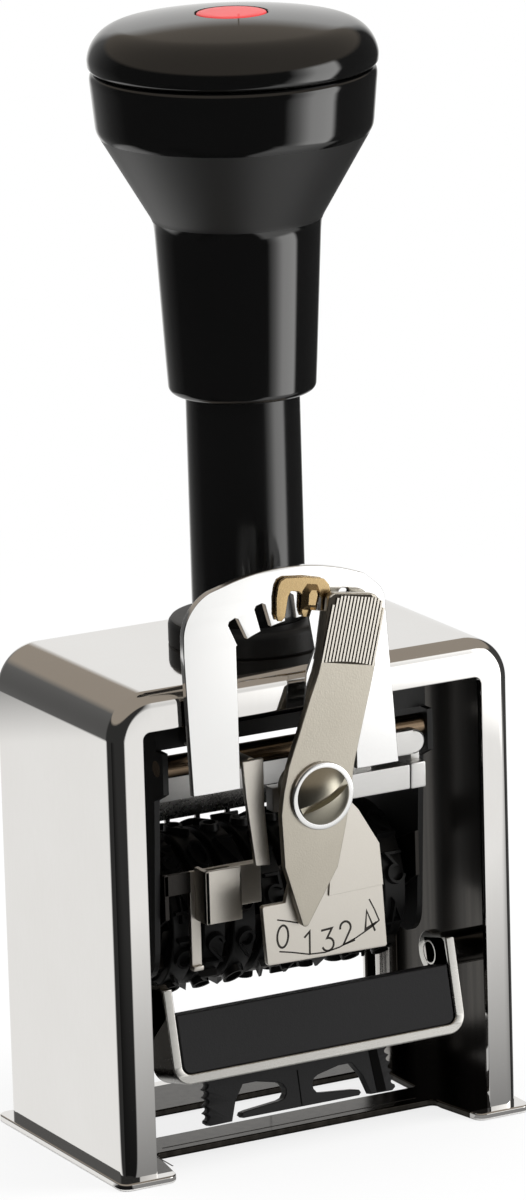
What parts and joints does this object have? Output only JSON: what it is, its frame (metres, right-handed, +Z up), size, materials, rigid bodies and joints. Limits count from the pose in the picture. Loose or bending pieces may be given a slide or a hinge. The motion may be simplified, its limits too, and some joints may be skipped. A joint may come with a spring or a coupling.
{
  "type": "numbering machine",
  "caption": "Self-inking desk numbering machine: chrome housing, sprung black handle, number wheels, index lever with comb and scale, hinged ink cassette.",
  "frame": {"origin": "under the middle of the bounding box, in the plane the base plate stands on", "axes": "+Z up along the handle, which is the longest extent; -Y towards the front with the index lever; +X to the right seen from the front"},
  "size_m": [0.0626, 0.0424, 0.1516],
  "materials": {
    "chrome_shell": "polished chrome plate",
    "chrome_bright": "bright polished chrome",
    "chrome_strip": "polished, fine drawing lines",
    "black_gloss": "smooth gloss black",
    "black_satin": "black, low gloss",
    "red_disc": "coral red, smooth",
    "nickel_satin": "satin nickel, warm",
    "nickel_warm": "pale warm nickel, engraved",
    "screw_nickel": "domed, polished nickel",
    "brass_tongue": "stamped, lightly polished",
    "aluminium_bar": "milled aluminium",
    "steel_turned": "turned and ground",
    "spring_steel": "drawn spring steel",
    "wheel_black": "blackened, inked type wheel",
    "ratchet_steel": "blackened steel",
    "cassette_black": "moulded, fine matt grain",
    "ink_felt": "ink-soaked felt"
  },
  "bodies": {
    "frame": {"housing": "chrome_shell", "base_plate": "chrome_shell", "guide_collar": "black_satin", "guide_tube": "black_gloss", "guide_rods": "steel_turned", "stirrup_pins": "steel_turned", "return_spring": "spring_steel"},
    "plunger": {"knob_cap": "black_gloss", "top_dot": "red_disc", "handle_grip": "black_gloss", "plunger_rod": "steel_turned", "carriage_bridge": "black_satin", "side_plate_left": "black_satin", "side_plate_right": "black_satin", "front_bracket": "aluminium_bar", "rear_bar": "aluminium_bar", "cross_shaft": "steel_turned", "stop_strip": "nickel_satin", "wheel_shaft": "steel_turned", "arch_plate": "chrome_bright", "arch_posts": "steel_turned", "scale_plate": "nickel_warm", "pivot_boss": "screw_nickel", "pivot_ring": "chrome_bright", "pivot_screw": "screw_nickel", "detent_springs": "spring_steel"},
    "lever": {"index_lever": "nickel_satin", "index_leaf": "nickel_satin", "index_tongue": "brass_tongue"},
    "pawls": {"pawl_carrier": "nickel_satin", "feed_pawl": "spring_steel"},
    "flap": {"ink_stirrup": "chrome_strip", "ink_cassette": "cassette_black", "ink_pad": "ink_felt", "cassette_clip": "cassette_black"},
    "wheel_1": {"number_wheel_1": "wheel_black", "ratchet_1": "ratchet_steel"},
    "wheel_2": {"number_wheel_2": "wheel_black", "ratchet_2": "ratchet_steel"},
    "wheel_3": {"number_wheel_3": "wheel_black", "ratchet_3": "ratchet_steel"},
    "wheel_4": {"number_wheel_4": "wheel_black", "ratchet_4": "ratchet_steel"},
    "wheel_5": {"number_wheel_5": "wheel_black", "ratchet_5": "ratchet_steel"},
    "wheel_6": {"number_wheel_6": "wheel_black", "ratchet_6": "ratchet_steel"},
    "wheel_7": {"number_wheel_7": "wheel_black", "ratchet_7": "ratchet_steel"},
    "wheel_8": {"number_wheel_8": "wheel_black", "ratchet_8": "ratchet_steel"}
  },
  "joints": [
    {"name": "plunger_slide", "type": "slide", "parent": "frame", "child": "plunger", "axis": [0, 0, -1], "range_m": [0, 0.0198], "stiffness_N_per_m": 350, "springref_m": -0.02, "deforming": ["return_spring"]},
    {"name": "index_lever_turn", "type": "hinge", "parent": "plunger", "child": "lever", "pos_m": [-0.0012, -0.0185, 0.0503], "axis": [0, 1, 0], "range_deg": [-27, 9]},
    {"name": "pawl_carrier_turn", "type": "hinge", "parent": "plunger", "child": "pawls", "pos_m": [0, 0.00415, 0.031], "axis": [-1, 0, 0], "range_deg": [0, 36.01]},
    {"name": "ink_flap_swing", "type": "hinge", "parent": "frame", "child": "flap", "pos_m": [0, -0.0078, 0.0221], "axis": [-1, 0, 0], "range_deg": [0, 6.01]},
    {"name": "wheel_1_spin", "type": "hinge", "parent": "plunger", "child": "wheel_1", "pos_m": [0, 0.00415, 0.031], "axis": [1, 0, 0], "continuous": true},
    {"name": "wheel_2_spin", "type": "hinge", "parent": "plunger", "child": "wheel_2", "pos_m": [0, 0.00415, 0.031], "axis": [1, 0, 0], "continuous": true},
    {"name": "wheel_3_spin", "type": "hinge", "parent": "plunger", "child": "wheel_3", "pos_m": [0, 0.00415, 0.031], "axis": [1, 0, 0], "continuous": true},
    {"name": "wheel_4_spin", "type": "hinge", "parent": "plunger", "child": "wheel_4", "pos_m": [0, 0.00415, 0.031], "axis": [1, 0, 0], "continuous": true},
    {"name": "wheel_5_spin", "type": "hinge", "parent": "plunger", "child": "wheel_5", "pos_m": [0, 0.00415, 0.031], "axis": [1, 0, 0], "continuous": true},
    {"name": "wheel_6_spin", "type": "hinge", "parent": "plunger", "child": "wheel_6", "pos_m": [0, 0.00415, 0.031], "axis": [1, 0, 0], "continuous": true},
    {"name": "wheel_7_spin", "type": "hinge", "parent": "plunger", "child": "wheel_7", "pos_m": [0, 0.00415, 0.031], "axis": [1, 0, 0], "continuous": true},
    {"name": "wheel_8_spin", "type": "hinge", "parent": "plunger", "child": "wheel_8", "pos_m": [0, 0.00415, 0.031], "axis": [1, 0, 0], "continuous": true}
  ],
  "couplings": [
    {"joint": "pawl_carrier_turn", "follows": "plunger_slide", "rad_per_m": 31.733},
    {"joint": "ink_flap_swing", "follows": "plunger_slide", "rad_per_m": 5.2889}
  ]
}
